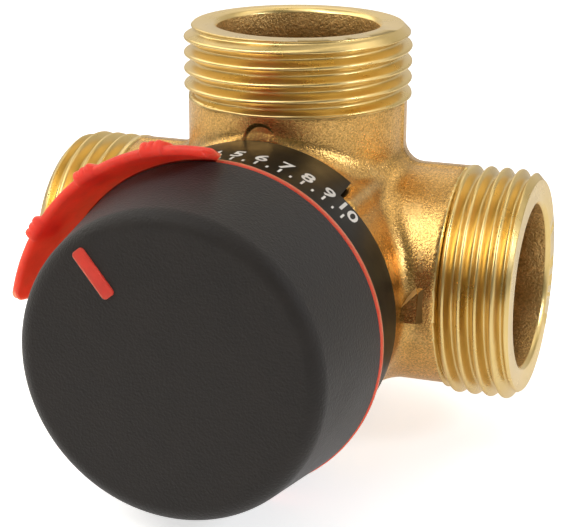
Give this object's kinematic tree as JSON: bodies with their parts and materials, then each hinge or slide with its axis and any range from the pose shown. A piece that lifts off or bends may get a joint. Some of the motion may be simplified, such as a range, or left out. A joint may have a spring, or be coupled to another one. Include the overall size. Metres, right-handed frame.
{
  "type": "three-way rotary mixing valve",
  "caption": "Brass rotary valve with externally threaded side ports and upper port, and a black knob with red pointer that turns a half-drum rotor to mix two flows.",
  "frame": {"origin": "where the axes of the ports meet the axis of the knob", "axes": "+X out of the right port, -X out of the left port, +Z out of the upper port, -Y out of the knob's face, as installed upright"},
  "size_m": [0.072, 0.0713, 0.0593],
  "materials": {
    "cast_brass": "sand-cast skin, machined threads and rims",
    "turned_brass": "turned and milled",
    "steel": "bright spring steel",
    "composite": "glass-filled moulding",
    "bearing_plastic": "plain bearing plastic",
    "seal_rubber": "smooth rubber",
    "black_plastic": "satin moulding with white printed scale",
    "red_plastic": "satin moulding",
    "soft_touch_black": "fine-grained soft-touch moulding"
  },
  "bodies": {
    "housing": {"valve_body": "cast_brass", "rear_bearing": "bearing_plastic", "rear_thrust_washer": "bearing_plastic", "front_thrust_washer": "bearing_plastic", "bonnet": "composite", "bonnet_o_ring": "seal_rubber", "shaft_wiper": "seal_rubber", "bonnet_retaining_ring": "steel", "dial_sleeve": "black_plastic"},
    "knob_and_rotor": {"rotor": "turned_brass", "drive_pin": "steel", "shaft": "composite", "inner_shaft_o_ring": "seal_rubber", "outer_shaft_o_ring": "seal_rubber", "knob_core": "red_plastic", "knob_spring_clip": "steel", "knob_cap": "soft_touch_black"}
  },
  "joints": [
    {"name": "knob_turn", "type": "hinge", "parent": "housing", "child": "knob_and_rotor", "pos_m": [0, 0, 0], "axis": [0, 1, 0], "range_deg": [-6.8, 83.2]}
  ]
}
